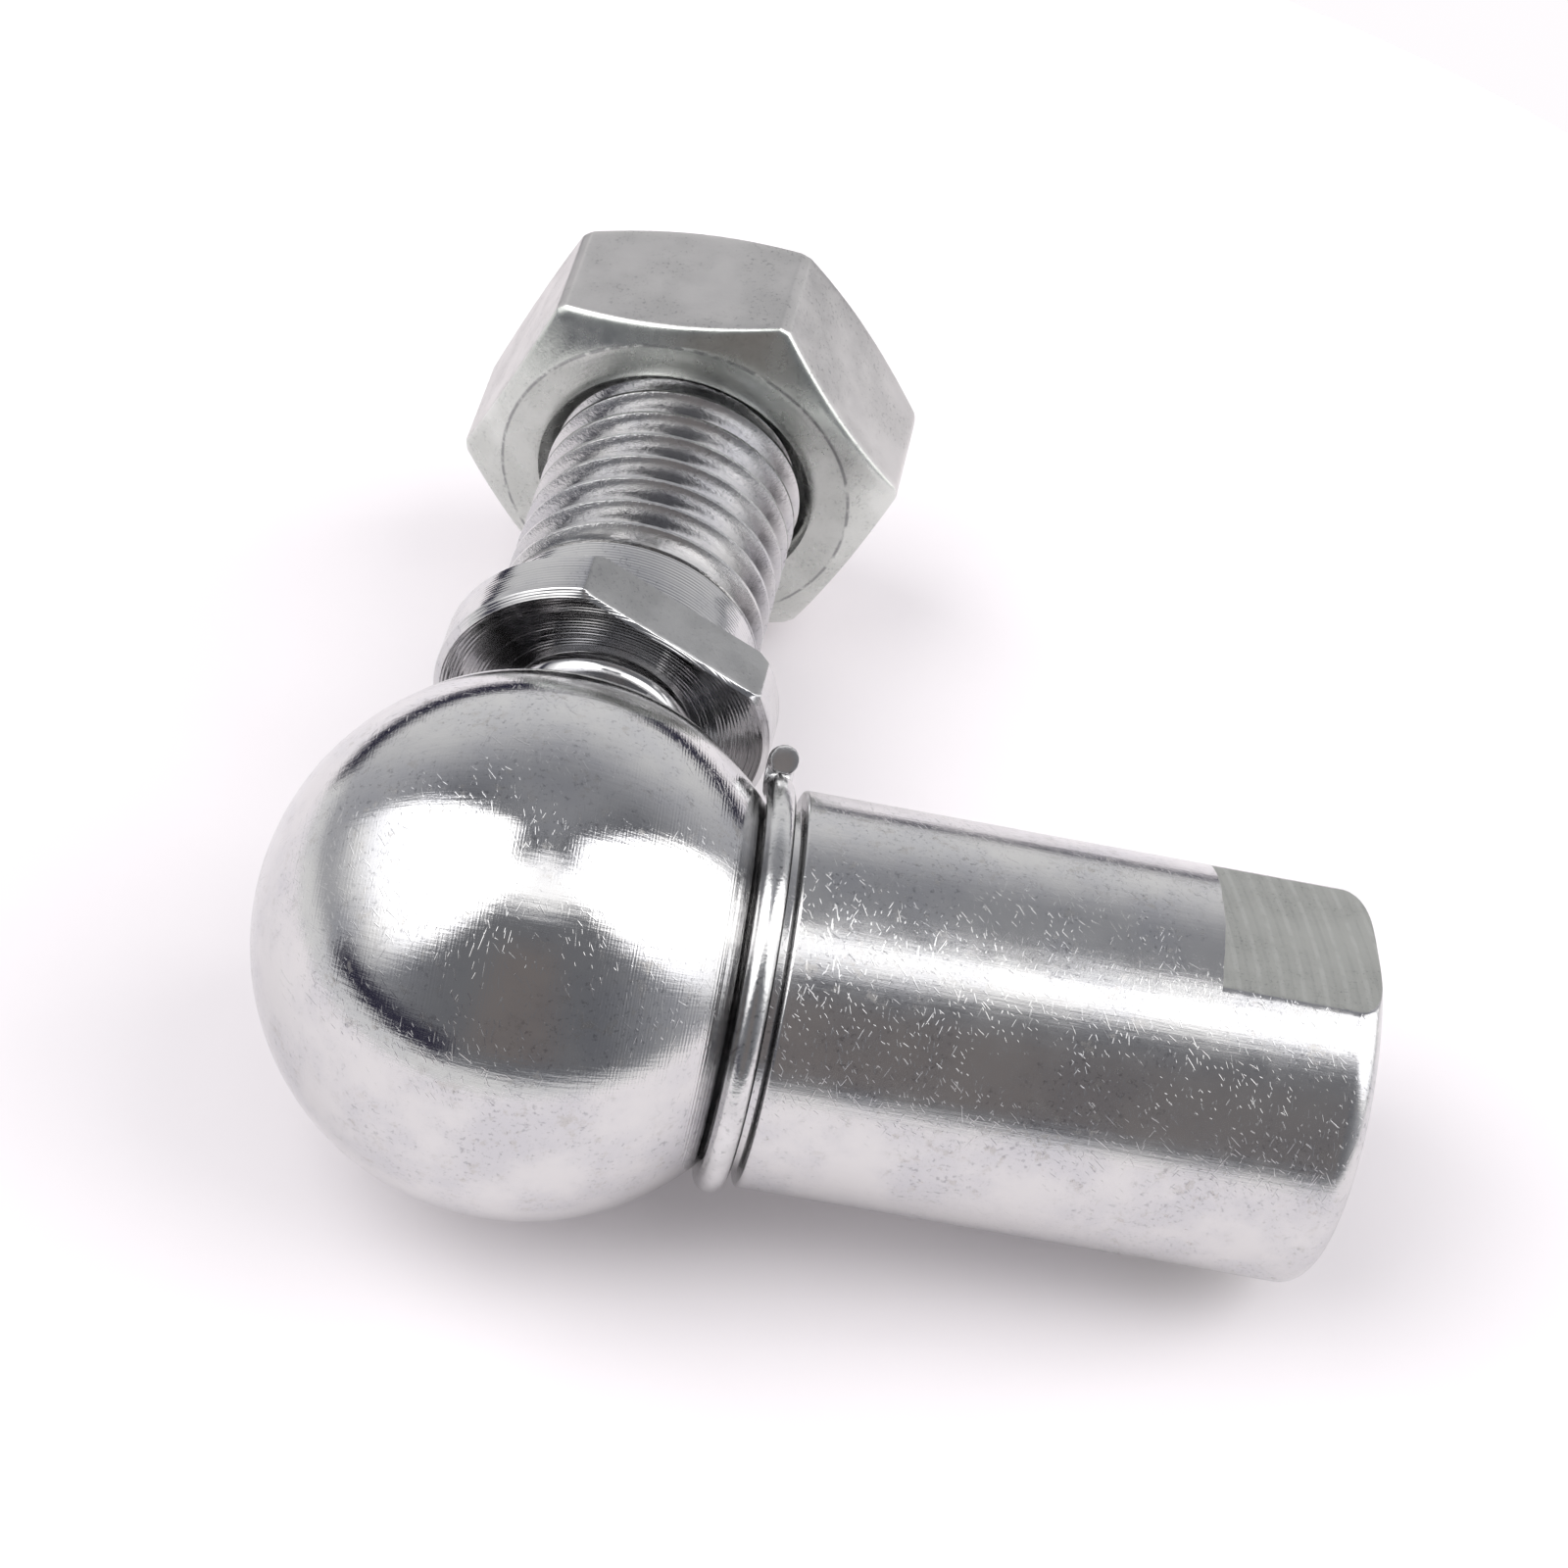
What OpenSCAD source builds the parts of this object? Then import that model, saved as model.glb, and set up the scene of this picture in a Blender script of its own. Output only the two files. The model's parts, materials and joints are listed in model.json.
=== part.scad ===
// Angle ball joint with a threaded ball stud, size 19, thread M16, with snap ring and
// wire safety clip.  Millimetres.  The origin is the centre of the ball, +X runs along the
// neck to its threaded end, +Y is the axis of the socket's mouth and +Z is up.

/* [Socket] */
// Diameter of the spherical head
head_d = 30; // [29.5:0.1:31]
// Distance from the ball centre to the flat face round the mouth
mouth_y = 10; // [9.8:0.1:10.4]
// Diameter of the round neck
neck_d = 22; // [21.6:0.1:23]
// Distance from the ball centre to the end of the neck
neck_end_x = 45; // [43:0.5:60]
// Radius of the rounded edge at the end of the neck
neck_edge_r = 1.5; // [1:0.1:2]
// Distance from the ball centre to the edge where the full neck starts
neck_start_x = 13.3; // [13.2:0.1:14]
// Diameter at the bottom of the clip groove
groove_d = 19.8; // [19.2:0.1:19.8]
// Width across the two wrench flats on the neck
neck_flat_w = 19; // [18:0.5:20]
// Length of the wrench flats, from the end of the neck
neck_flat_len = 9; // [6:0.5:12]
// Turn of the wrench flats about the neck
neck_flat_turn = -13.5; // [-90:0.5:90]
// Wall diameter of the threaded hole, the M16 core
hole_d = 13.84; // [13.8:0.02:14]
// Depth of the full threaded hole
hole_depth = 24; // [16:0.5:25]

/* [Ball stud] */
// Diameter of the ball
ball_d = 19; // [18.96:0.01:19.02]
// Diameter of the thin neck between ball and collar
stem_d = 9.5; // [8.5:0.1:9.5]
// Radius of the fillet between the thin neck and the collar
stem_fillet_r = 0.85; // [0.5:0.05:1.2]
// Distance from the ball centre to the ball side of the collar
collar_start = 17.5; // [17.5:0.1:19]
// Distance from the ball centre to the shoulder of the collar
collar_end = 21; // [20.5:0.1:23]
// Diameter of the round collar
collar_d = 20; // [19.4:0.1:20.4]
// Width across the collar's two wrench flats
collar_flat_w = 16; // [16:0.1:17.5]
// Turn of the collar's wrench flats about the stud
collar_flat_turn = -67; // [-90:1:90]
// Size of the collar's edge chamfers
collar_edge = 0.4; // [0.2:0.1:0.6]
// Distance from the ball centre to the end of the stud
stud_end = 50; // [49:0.5:60]
// Outside diameter of the stud's thread
thread_d = 15.8; // [15.8:0.01:15.9]
// Lean of the stud towards the neck in the rest pose
stud_lean = 6; // [0:0.5:12]

/* [Nut] */
// Width across flats of the low hexagon nut
nut_flat_w = 24; // [23.6:0.1:24]
// Thickness of the nut
nut_h = 10.5; // [8:0.1:10.6]
// Distance from the ball centre to the near face of the nut
nut_near = 38.4; // [26:0.1:38.6]
// Turn of the nut about the stud
nut_turn = -11.1; // [-30:0.1:30]

/* [Wire parts] */
// Wire diameter of the safety clip
clip_wire_d = 1.6; // [1.4:0.1:1.6]
// Distance from the ball centre to the middle of the clip's ring
clip_x = 11.9; // [11.9:0.05:12]
// Height of the clip's hook above the ball centre
hook_y = 13.2; // [13.1:0.05:13.3]
// Radius of the clip's hook round the stud
hook_r = 9.4; // [9.3:0.05:9.5]
// Angle of the hook's arc round the stud
hook_arc = 88; // [80:1:94]
// Angle at which the clip's ring ends in its grip loop
grip_angle = 38; // [30:1:60]
// Wire diameter of the snap ring
snap_wire_d = 1.4; // [1.3:0.05:1.4]
// Gap between the ends of the snap ring
snap_gap = 3; // [1:0.5:5]

/* [Hidden] */
$fn = 60;

zinc = [0.78, 0.79, 0.80];
zinc_dull = [0.70, 0.72, 0.70];
steel = [0.62, 0.63, 0.65];
cut = 0.5;                    // how far a cutting solid runs past the face it cuts
play = 0.05;                  // running clearance, on the radius

ball_r = ball_d / 2;
cup_r = ball_r + play;
mouth_r = ball_r + 0.1;
mouth_bevel = 0.4;
neck_r = neck_d / 2;
groove_r = groove_d / 2;
neck_bevel = 0.2;
hole_r = hole_d / 2;
hole_bevel = 1.3;
drill_point = 4;

snap_wire_r = snap_wire_d / 2;
snap_r = ball_r - 0.25;       // radius of the ring's centre line
snap_y = sqrt(pow(ball_r + play + snap_wire_r, 2) - snap_r * snap_r);
snap_groove_r = snap_r + snap_wire_r + 0.1;
snap_groove_w = snap_wire_d + 0.25;

collar_r = collar_d / 2;
stem_r = stem_d / 2;
stem_root_r = 1.2;            // fillet where the thin neck grows out of the ball
thread_r = thread_d / 2;
thread_bevel = 1;
stem_y = sqrt(ball_r * ball_r - stem_r * stem_r);

nut_bore_r = thread_r + 0.08;
nut_bore_bevel = 0.6;
nut_corner_r = 13.66;
nut_face_r = 10.9;
nut_bevel = 27;               // angle of the nut's bevels
nut_bevel_h = (nut_corner_r - nut_face_r) * tan(nut_bevel);

clip_wire_r = clip_wire_d / 2;
clip_r = groove_r + play + clip_wire_r;
hook_out = sqrt(hook_y * hook_y + hook_r * hook_r);
arm_angle = 360 - atan2(hook_r, hook_y) - acos(clip_r / hook_out);
arm_len = sqrt(hook_out * hook_out - clip_r * clip_r);
arm_bend_r = 1.5;
hook_shift_x = -0.8;          // centre of the hook's arc along X
grip_r = clip_wire_r + play;
grip_tail = 8;                // angle of the grip's straight end

// Puts a shape drawn on +Z onto the stud's axis
module on_stud_axis() {
    rotate([0, 0, -stud_lean])
        rotate([-90, 0, 0])
            children();
}

// Puts a shape drawn on +Z onto the neck's axis, its X on Y and its Y on Z
module on_neck_axis() {
    rotate([90, 0, 90])
        children();
}

// A round bar on +Z with an edge bevel at each end
module bevelled_bar(r, z0, z1, low, high) {
    translate([0, 0, z0])
        cylinder(r1 = r - low, r2 = r, h = low);
    translate([0, 0, z0 + low])
        cylinder(r = r, h = z1 - z0 - low - high);
    translate([0, 0, z1 - high])
        cylinder(r1 = r, r2 = r - high, h = high);
}

// Two slabs that leave a bar with a pair of flats, width apart
module flat_cutters(width, size, z0, z1) {
    for (side = [0, 180])
        rotate([0, 0, side])
            translate([width / 2, -size, z0])
                cube([size, 2 * size, z1 - z0]);
}

// Half of a round disc, right of the turning axis
module half_disc(r) {
    intersection() {
        circle(r = r);
        translate([0, -r])
            square([r, 2 * r]);
    }
}

// Outline that the head and the neck are turned to, along the neck
module socket_outline() {
    half_disc(head_d / 2);
    square([groove_r, neck_start_x + cut]);
    polygon([[0, neck_start_x], [neck_r - neck_bevel, neck_start_x],
             [neck_r, neck_start_x + neck_bevel], [neck_r, neck_end_x - neck_edge_r],
             [0, neck_end_x - neck_edge_r]]);
    translate([0, neck_end_x - neck_edge_r])
        square([neck_r - neck_edge_r, neck_edge_r]);
    translate([neck_r - neck_edge_r, neck_end_x - neck_edge_r])
        intersection() {
            circle(r = neck_edge_r);
            square(neck_edge_r);
        }
}

// Outline of the threaded hole, its countersink and the point that the drill leaves
module hole_outline() {
    floor_x = neck_end_x - hole_depth;
    bevel_r = hole_r + hole_bevel;
    polygon([[0, floor_x - drill_point], [hole_r, floor_x],
             [hole_r, neck_end_x - hole_bevel], [bevel_r, neck_end_x],
             [bevel_r, neck_end_x + cut], [0, neck_end_x + cut]]);
}

// Outline of the cup, the mouth that the ball goes in through and the snap ring's groove
module cup_outline() {
    low = snap_y - snap_groove_w / 2;
    half_disc(cup_r);
    polygon([[0, 0], [mouth_r, 0], [mouth_r, low], [snap_groove_r, low],
             [snap_groove_r, low + snap_groove_w], [mouth_r, low + snap_groove_w],
             [mouth_r, mouth_y - mouth_bevel], [mouth_r + mouth_bevel, mouth_y],
             [mouth_r + mouth_bevel, mouth_y + cut], [0, mouth_y + cut]]);
}

// Spherical head with the neck, one turned and milled piece
module ball_socket() {
    color(zinc)
        difference() {
            on_neck_axis()
                rotate_extrude()
                    socket_outline();
            translate([-head_d, mouth_y, -head_d])
                cube([head_d + neck_start_x - cut, head_d, 2 * head_d]);
            rotate([-90, 0, 0])
                rotate_extrude()
                    cup_outline();
            on_neck_axis()
                rotate_extrude()
                    hole_outline();
            on_neck_axis()
                rotate([0, 0, 90 + neck_flat_turn])
                    flat_cutters(neck_flat_w, neck_d, neck_end_x - neck_flat_len,
                                 neck_end_x + cut);
        }
}

// Split ring that holds the ball in the cup
module snap_ring() {
    half_gap = asin(snap_gap / 2 / snap_r);
    color(steel)
        translate([0, snap_y, 0])
            rotate([-90, 0, 0])
                rotate([0, 0, half_gap])
                    rotate_extrude(angle = 360 - 2 * half_gap)
                        translate([snap_r, 0])
                            circle(r = snap_wire_r, $fn = 24);
}

// Steps from one angle to another, both ends included
function steps(from, to, n) = [for (i = [0 : n]) from + (to - from) * i / n];

// A point of the clip's plane, at a radius and an angle from +Y towards +Z
function ring_point(r, a) = [clip_x, r * cos(a), r * sin(a)];

// Middle line of the clip's wire: grip tail, grip loop, ring, arm with its bend, hook
function clip_line() =
    let (out = [0, cos(grip_angle), sin(grip_angle)],
         back = [0, sin(grip_angle), -cos(grip_angle)],
         grip_mid = ring_point(clip_r + grip_r, grip_angle),
         rise = [0, -sin(arm_angle), cos(arm_angle)],
         corner = [clip_x, hook_y, -hook_r],
         bend_mid = corner - arm_bend_r * (rise + [1, 0, 0]))
    concat(
        [for (a = steps(grip_angle + grip_tail, grip_angle + 2, 2))
            ring_point(clip_r + 2 * grip_r, a)],
        [for (t = steps(0, 180, 10)) grip_mid + grip_r * (cos(t) * out + sin(t) * back)],
        [for (a = steps(grip_angle + 4, arm_angle, 36)) ring_point(clip_r, a)],
        [for (t = steps(0, 90, 6))
            bend_mid + arm_bend_r * (cos(t) * [1, 0, 0] + sin(t) * rise)],
        [for (b = steps(0, hook_arc, 15))
            [hook_shift_x - hook_r * sin(b), hook_y, -hook_r * cos(b)]]);

function unit(v) = v / norm(v);

// Direction of a line at one of its points
function heading(line, i) = unit(line[min(i + 1, len(line) - 1)] - line[max(i - 1, 0)]);

// One side direction per point, carried along the line without twist
function sides(line) =
    [for (i = 0, side = [1, 0, 0];
          i < len(line);
          i = i + 1,
          side = i < len(line)
              ? unit(side - (side * heading(line, i)) * heading(line, i))
              : side)
        side];

// A round wire along a line of points
module wire(line, r, n) {
    side = sides(line);
    points = [for (i = [0 : len(line) - 1])
        for (k = [0 : n - 1])
            let (up = cross(heading(line, i), side[i]), a = 360 * k / n)
                line[i] + r * (cos(a) * side[i] + sin(a) * up)];
    walls = [for (i = [0 : len(line) - 2])
        for (k = [0 : n - 1])
            let (a = i * n + k, b = i * n + (k + 1) % n)
                [a, a + n, b + n, b]];
    last = (len(line) - 1) * n;
    start_cap = [for (k = [0 : n - 1]) k];
    end_cap = [for (k = [n - 1 : -1 : 0]) last + k];
    polyhedron(points, concat(walls, [start_cap, end_cap]));
}

// Spring wire clip: an open ring in the neck's groove, a grip loop, an arm and a hook
module safety_clip() {
    color(zinc)
        wire(clip_line(), clip_wire_r, 16);
}

// Ball, thin neck, round collar with two wrench flats and the threaded shank
module ball_stud() {
    color(zinc)
        on_stud_axis() {
            sphere(r = ball_r);
            rotate_extrude() {
                square([stem_r, collar_start + cut]);
                translate([0, collar_start - stem_fillet_r])
                    difference() {
                        square([stem_r + stem_fillet_r, stem_fillet_r + cut]);
                        translate([stem_r + stem_fillet_r, 0])
                            circle(r = stem_fillet_r);
                    }
            }
            translate([0, 0, stem_y - stem_root_r / 2])
                cylinder(r1 = stem_r + stem_root_r, r2 = stem_r, h = stem_root_r);
            difference() {
                bevelled_bar(collar_r, collar_start, collar_end, collar_edge, collar_edge);
                rotate([0, 0, collar_flat_turn])
                    flat_cutters(collar_flat_w, collar_d, collar_start - cut, collar_end + cut);
            }
            bevelled_bar(thread_r, collar_start + cut, stud_end, 0.1, thread_bevel);
        }
}

// Outline that the nut is turned to before its six flats are cut
module nut_outline() {
    polygon([[nut_bore_r, nut_bore_bevel], [nut_bore_r + nut_bore_bevel, 0],
             [nut_face_r, 0], [nut_corner_r, nut_bevel_h],
             [nut_corner_r, nut_h - nut_bevel_h], [nut_face_r, nut_h],
             [nut_bore_r + nut_bore_bevel, nut_h], [nut_bore_r, nut_h - nut_bore_bevel]]);
}

// Low hexagon nut, bevelled on both sides
module hex_nut() {
    color(zinc_dull)
        on_stud_axis()
            translate([0, 0, nut_near])
                rotate([0, 0, nut_turn])
                    intersection() {
                        rotate([0, 0, 15])
                            rotate_extrude()
                                nut_outline();
                        translate([0, 0, -cut])
                            cylinder(r = nut_flat_w / 2 / cos(30), h = nut_h + 2 * cut, $fn = 6);
                    }
}

ball_socket();
snap_ring();
safety_clip();
ball_stud();
hex_nut();
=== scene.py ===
import json
import math

import bmesh
import bpy
import numpy as np
from mathutils import Matrix, Vector, noise


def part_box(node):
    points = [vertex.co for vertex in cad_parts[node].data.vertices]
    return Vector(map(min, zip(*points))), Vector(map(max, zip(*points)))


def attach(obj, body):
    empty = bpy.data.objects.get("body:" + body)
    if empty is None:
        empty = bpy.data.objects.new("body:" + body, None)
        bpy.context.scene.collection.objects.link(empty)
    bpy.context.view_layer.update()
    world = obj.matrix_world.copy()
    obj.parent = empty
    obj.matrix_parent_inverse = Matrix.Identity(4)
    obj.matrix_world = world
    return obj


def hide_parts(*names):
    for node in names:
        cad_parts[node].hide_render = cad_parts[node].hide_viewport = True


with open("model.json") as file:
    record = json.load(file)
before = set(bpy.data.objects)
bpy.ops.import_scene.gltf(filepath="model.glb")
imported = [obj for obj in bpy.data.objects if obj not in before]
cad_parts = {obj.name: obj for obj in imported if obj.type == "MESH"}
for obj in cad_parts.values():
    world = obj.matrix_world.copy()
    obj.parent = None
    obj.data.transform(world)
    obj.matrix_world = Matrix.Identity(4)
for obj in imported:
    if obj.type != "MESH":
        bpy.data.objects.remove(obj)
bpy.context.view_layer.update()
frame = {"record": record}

RECORD = frame["record"]
MM = 0.001


def mount(name):
    """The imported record's entry for a mount."""
    return next(m for m in RECORD["mounts"] if m["name"] == name)


# ---------------------------------------------------------------- axes and sizes, in mm

X, Y, Z = np.eye(3)
STUD = np.array(mount("stud_thread")["axis"], float)
STUD /= np.linalg.norm(STUD)
SIDE = np.cross(STUD, Z)                      # across the stud, towards the neck
NECK_AXIS = (Y, Z, X)                         # two directions across, one along
MOUTH_AXIS = (Z, X, Y)
STUD_AXIS = (Z, SIDE, STUD)

# Places along an axis are counted from the ball's centre, and turns are in degrees. Names that
# end in _R are radii, and those that end in _FLAT are distances from an axis to a flat.

# Head, mouth and cup
HEAD_R = -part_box("ball_socket")[0].x / MM
MOUTH_Y, MOUTH_RIM = 10.0, 0.25
CUP_R, MOUTH_R, BALL_R = 9.55, 9.6, 9.5

# Snap ring, with its place along the mouth's axis, and the groove that holds it
SNAP_R, SNAP_WIRE_R, SNAP_HALF_GAP = 9.25, 0.7, 1.5
SNAP_Y = math.sqrt((CUP_R + SNAP_WIRE_R) ** 2 - SNAP_R ** 2)
SNAP_GROOVE_R, SNAP_GROOVE_HALF = 10.05, 0.825

# Neck: clip groove, full round, milled flats with curved cutter bands, burr at one corner
NECK_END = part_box("ball_socket")[1].x / MM
NECK_ROOT, GROOVE_START, GROOVE_R = 10.75, 11.5, 9.9
NECK_START, NECK_R, NECK_EDGE = 13.3, 11.0, 1.5
NECK_FLAT, NECK_FLAT_X, NECK_FLAT_TURN = 9.5, NECK_END - 9.0, 76.5
BAND_PITCH, BAND_SHIFT, BAND_BEND, BAND_DEPTH = 1.2, 3.0, 1 / 90, 0.012
BURR_TURN, BURR_WIDTH, BURR_HEIGHT = -27.5, 2.6, 0.22

# Threads: M16 with a 2 mm pitch, and the threaded hole in the neck
PITCH = 2.0
HOLE_R, HOLE_THREAD_R, HOLE_X, HOLE_POINT, HOLE_BEVEL = 6.92, 8.0, NECK_END - 24, 4.0, 1.3

# Stud: thin neck, collar with its flats and ragged edge, plain shank, thread
STEM_R, STEM_FILLET, STEM_ROOT = 4.75, 0.85, 1.2
COLLAR_START, COLLAR_END, COLLAR_R, COLLAR_EDGE = 17.5, 21.0, 10.0, 0.4
COLLAR_FLAT, COLLAR_FLAT_TURN, COLLAR_FLAT_EDGE, COLLAR_FACE_R = 8.0, 23.0, 0.22, 9.1
RAG_ALONG, RAG_DEEP = 0.05, 0.07
SHANK_R, THREAD_START, THREAD_EASE, THREAD_R, THREAD_ROOT_R = 7.97, 24.4, 0.35, 7.9, 6.68
STUD_END, STUD_BEVEL = 50.0, 1.0

# Nut, bevelled at both ends, with a small broken edge (NUT_LIP) round its bore
NUT_NEAR, NUT_H, NUT_FLAT, NUT_CORNER_R, NUT_FACE_R = 38.4, 10.5, 12.0, 13.66, 10.9
NUT_TURN, NUT_SLOPE, NUT_ROUND = 18.9, math.tan(math.radians(27)), 0.32
NUT_THREAD_R, NUT_CORE_R, NUT_BEVEL, NUT_LIP = 8.0, 6.92, 0.6, 0.03

# Safety clip: ring in the groove, hook round the stud, grip at the ring's other end
CLIP_X, CLIP_WIRE_R, CLIP_PLAY = 11.9, 0.8, 0.05
CLIP_R = GROOVE_R + CLIP_PLAY + CLIP_WIRE_R
HOOK_Y, HOOK_R, HOOK_ARC, HOOK_SHIFT = 13.2, 9.4, 88.0, -0.8
GRIP_ANGLE, GRIP_TAIL, GRIP_R = 38.0, 8.0, 0.85
ARM_BEND = 1.5


# ---------------------------------------------------------------- mesh tools

def make_object(name, points, faces, smooth_angle=32.0):
    """A closed mesh from points in mm, welded, with its normals outwards."""
    weld = 1e-6
    mesh = bpy.data.meshes.new(name)
    mesh.from_pydata([tuple(p) for p in np.asarray(points) * MM], [], faces)
    bm = bmesh.new()
    bm.from_mesh(mesh)
    bmesh.ops.remove_doubles(bm, verts=bm.verts, dist=weld)
    bmesh.ops.dissolve_degenerate(bm, edges=bm.edges, dist=weld)
    bmesh.ops.recalc_face_normals(bm, faces=bm.faces)
    bm.to_mesh(mesh)
    bm.free()
    obj = bpy.data.objects.new(name, mesh)
    bpy.context.scene.collection.objects.link(obj)
    shade(obj, smooth_angle)
    return obj


def shade(obj, smooth_angle):
    """Smooth shading, with sharp edges where faces meet at more than an angle in degrees."""
    obj.data.shade_smooth()
    obj.data.set_sharp_from_angle(angle=math.radians(smooth_angle))


def skin(name, along, radius, turn, axis):
    """The surface through a grid of rows: along, radius (mm) and turn (radians) per point."""
    along, radius, turn = np.broadcast_arrays(along, radius, turn)
    u, v, w = axis
    points = (along[..., None] * w + (radius * np.cos(turn))[..., None] * u
              + (radius * np.sin(turn))[..., None] * v)
    rows, cols = along.shape
    faces = [(i * cols + j, i * cols + j + 1, (i + 1) * cols + j + 1, (i + 1) * cols + j)
             for i in range(rows - 1) for j in range(cols - 1)]
    return make_object(name, points.reshape(-1, 3), faces)


def fillet(corners, steps=5):
    """A polyline (a, b, rounding radius) with its corners rounded."""
    out = []
    for i, (a, b, r) in enumerate(corners):
        p = np.array([a, b], float)
        if r == 0 or i in (0, len(corners) - 1):
            out.append(p)
            continue
        before = np.array(corners[i - 1][:2], float) - p
        after = np.array(corners[i + 1][:2], float) - p
        before, after = before / np.linalg.norm(before), after / np.linalg.norm(after)
        half = math.acos(np.clip(before @ after, -1, 1)) / 2
        reach = r / math.tan(half)
        middle = p + (before + after) / np.linalg.norm(before + after) * r / math.sin(half)
        start, end = p + before * reach - middle, p + after * reach - middle
        for t in np.linspace(0, 1, steps + 1):
            d = start * (1 - t) + end * t
            out.append(middle + d / np.linalg.norm(d) * r)
    return out


def arc(centre, r, start, end, steps):
    """Points of a circle in the (along, radius) plane, angles from the along axis."""
    t = np.radians(np.linspace(start, end, steps + 1))
    return [np.array([centre[0] + r * math.cos(k), centre[1] + r * math.sin(k)]) for k in t]


def soft_min(a, b, k):
    """The lesser of two values, blended where they differ by less than k."""
    h = np.maximum(k - np.abs(a - b), 0) / k
    return np.minimum(a, b) - h * h * k / 4


def flat_columns(edge, turn, inside, outside):
    """Angles round a bar with two flats, crowded at the flats' edges, first one repeated."""
    edge = math.radians(edge)
    quarter = np.concatenate([edge * inside, edge + (math.pi / 2 - edge) * outside])
    half = np.concatenate([quarter, math.pi - quarter[::-1][1:]])
    full = np.concatenate([half, math.pi + half[1:]])
    return full + math.radians(turn)


# Where the columns stand, as shares of the way from a flat's middle to its edge, and onwards
INSIDE = np.concatenate([np.linspace(0, 0.86, 9), [0.93, 0.965, 0.985, 1.0]])
OUTSIDE = np.concatenate([[0.012, 0.03, 0.06, 0.1], np.linspace(0.15, 1, 16)])

# Half of a thread's rounded profile: (share of the pitch from the crest, height from 0 to 1)
HALF_THREAD = [(0.052, 1.0), (0.072, 0.97), (0.17, 0.68), (0.27, 0.385), (0.35, 0.145),
               (0.40, 0.045), (0.45, 0.008)]


def thread_rows(start, end, turn, crest, root):
    """Rows of a right-hand M16 thread between two places: along and radius per column."""
    shape = [(-a, h) for a, h in HALF_THREAD[::-1]] + HALF_THREAD + [(0.5, 0.0)]
    lift = (turn - turn[0]) / (2 * math.pi) * PITCH
    first = math.floor((start - PITCH) / PITCH) - 1
    last = math.ceil(end / PITCH) + 1
    along, radius = [], []
    for k in range(first, last + 1):
        for phase, height in shape:
            raw = (k + phase) * PITCH + lift
            along.append(np.clip(raw, start, end))
            radius.append(np.full_like(turn, root + (crest - root) * height))
    return np.array(along), np.array(radius)


# ---------------------------------------------------------------- ball socket

def head_mesh():
    """The spherical head with its mouth, its cup and the snap ring's groove."""
    top = math.degrees(math.asin((MOUTH_Y - MOUTH_RIM) / HEAD_R))
    low, high = SNAP_Y - SNAP_GROOVE_HALF, SNAP_Y + SNAP_GROOVE_HALF
    profile = arc((0, 0), HEAD_R, 180, 90 - top, 84)
    edge = HEAD_R * math.cos(math.radians(top))
    profile += fillet([(MOUTH_Y - MOUTH_RIM, edge, 0), (MOUTH_Y, edge - 0.1, 0.16),
                       (MOUTH_Y, MOUTH_R + 0.4, 0.06), (MOUTH_Y - 0.4, MOUTH_R, 0.1),
                       (high, MOUTH_R, 0.06), (high, SNAP_GROOVE_R, 0.1),
                       (low, SNAP_GROOVE_R, 0.1), (low, MOUTH_R, 0.06),
                       (0.4, MOUTH_R, 0)], 4)[1:]
    profile += arc((0, 0), CUP_R, 88, 180, 48)
    along, radius = np.array(profile).T
    turn = np.linspace(0, 2 * math.pi, 193)
    radius[np.abs(radius) < 1e-6] = 0
    return skin("head_blank", along[:, None], radius[:, None], turn[None], MOUTH_AXIS)


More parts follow.
